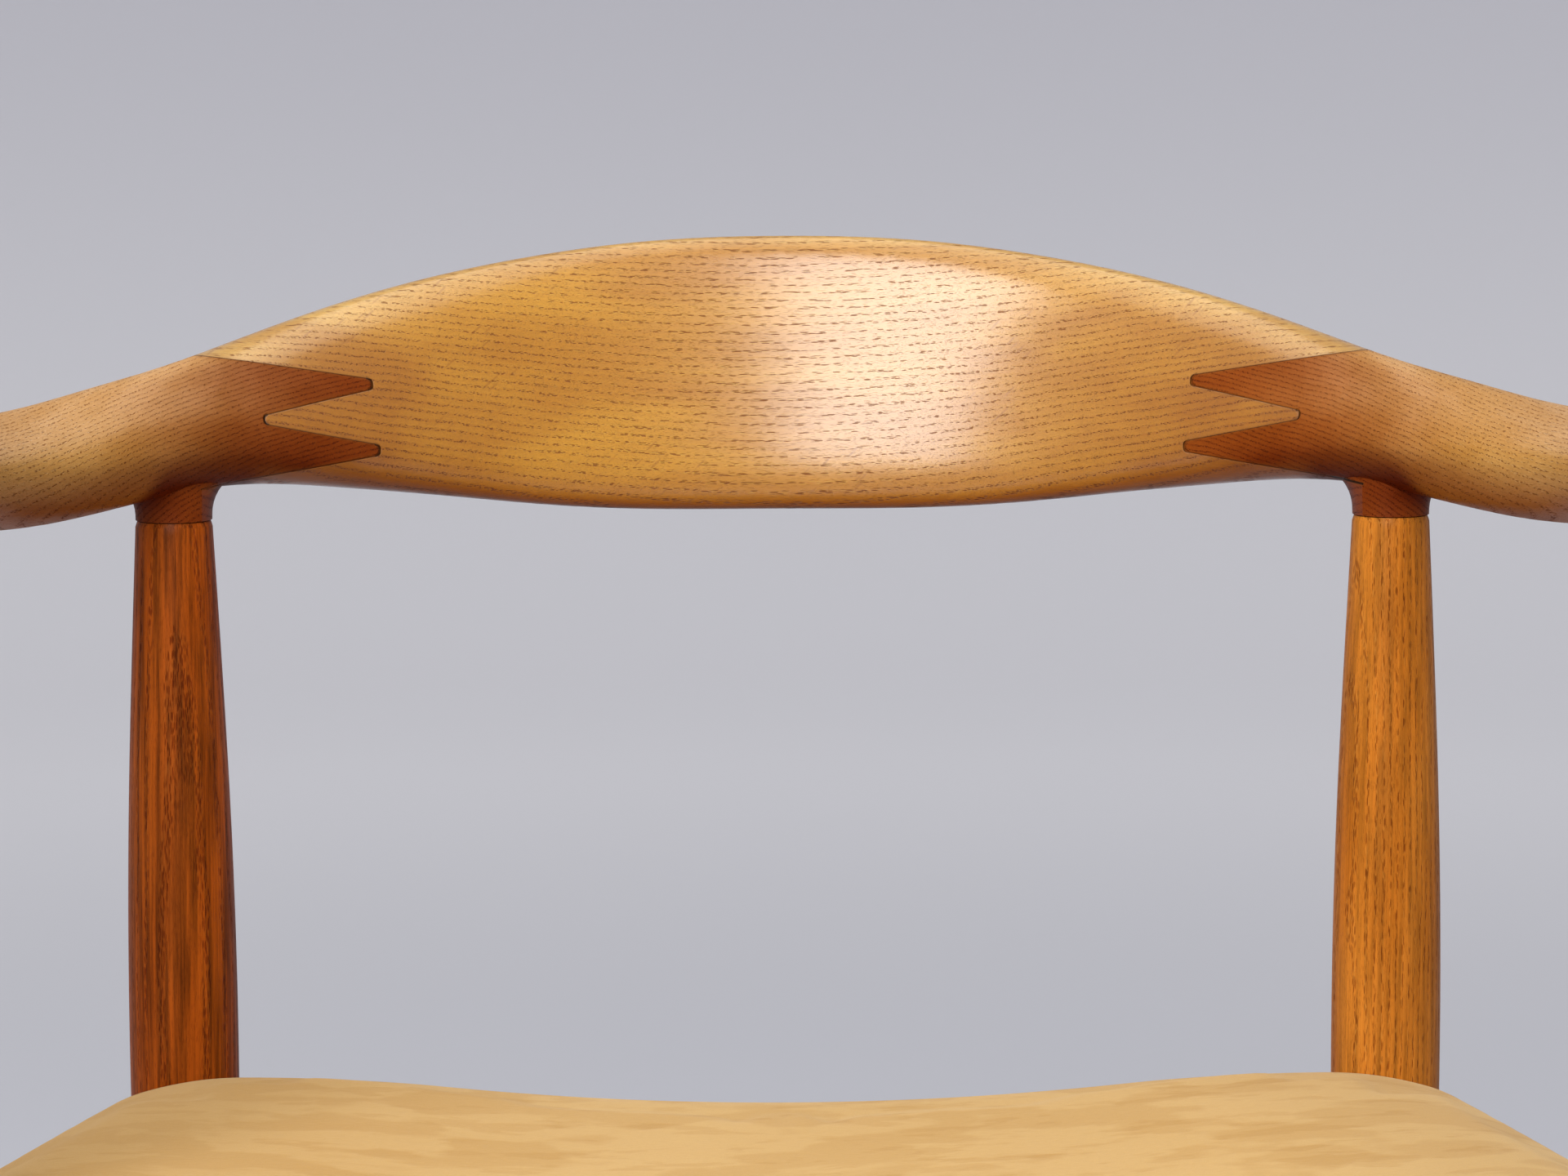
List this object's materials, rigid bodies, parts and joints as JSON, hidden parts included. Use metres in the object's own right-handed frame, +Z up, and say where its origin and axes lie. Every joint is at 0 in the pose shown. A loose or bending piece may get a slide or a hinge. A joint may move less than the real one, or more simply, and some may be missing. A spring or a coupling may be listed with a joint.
{
  "type": "round back armchair",
  "caption": "Low armchair whose crest rail and arms form one horseshoe on turned legs, with a padded suede saddle seat",
  "frame": {"origin": "middle of the chair's footprint, on the floor", "axes": "+Z up, -Y to the front where the sitter faces, +X to the right as seen from the front"},
  "size_m": [0.6308, 0.5114, 0.7595],
  "materials": {
    "oak_crest": "golden oak, oiled, open pores",
    "oak_arms": "redder oak, oiled, open pores",
    "oak_legs": "dark oak, oiled, straight grain",
    "frame_wood": "bare beech, sawn and planed",
    "suede": "brushed tan suede",
    "foam": "moulded foam with wadding",
    "webbing": "woven jute webbing",
    "hessian": "open plain-woven jute cloth",
    "black_cloth": "thin black bonded cloth",
    "steel": "blued steel tacks, bright screws and nails",
    "nylon": "dark brown nylon"
  },
  "bodies": {
    "root": {"crest_rail": "oak_crest", "arm_left": "oak_arms", "arm_right": "oak_arms", "back_leg_left": "oak_legs", "back_leg_right": "oak_legs", "front_leg_left": "oak_legs", "front_leg_right": "oak_legs", "back_rail": "frame_wood", "front_rail": "frame_wood", "side_rail_left": "frame_wood", "side_rail_right": "frame_wood", "corner_block_back_left": "frame_wood", "corner_block_back_right": "frame_wood", "corner_block_front_left": "frame_wood", "corner_block_front_right": "frame_wood", "suede_cover": "suede", "seat_padding": "foam", "lengthwise_strap_1": "webbing", "lengthwise_strap_2": "webbing", "lengthwise_strap_3": "webbing", "lengthwise_strap_4": "webbing", "cross_strap_1": "webbing", "cross_strap_2": "webbing", "cross_strap_3": "webbing", "cross_strap_4": "webbing", "hessian_sheet": "hessian", "dust_cover": "black_cloth", "corner_block_screws": "steel", "strap_tacks": "steel", "cover_tacks": "steel", "dust_cover_tacks": "steel", "glide_nails": "steel", "back_leg_glide_left": "nylon", "back_leg_glide_right": "nylon", "front_leg_glide_left": "nylon", "front_leg_glide_right": "nylon"}
  },
  "joints": []
}
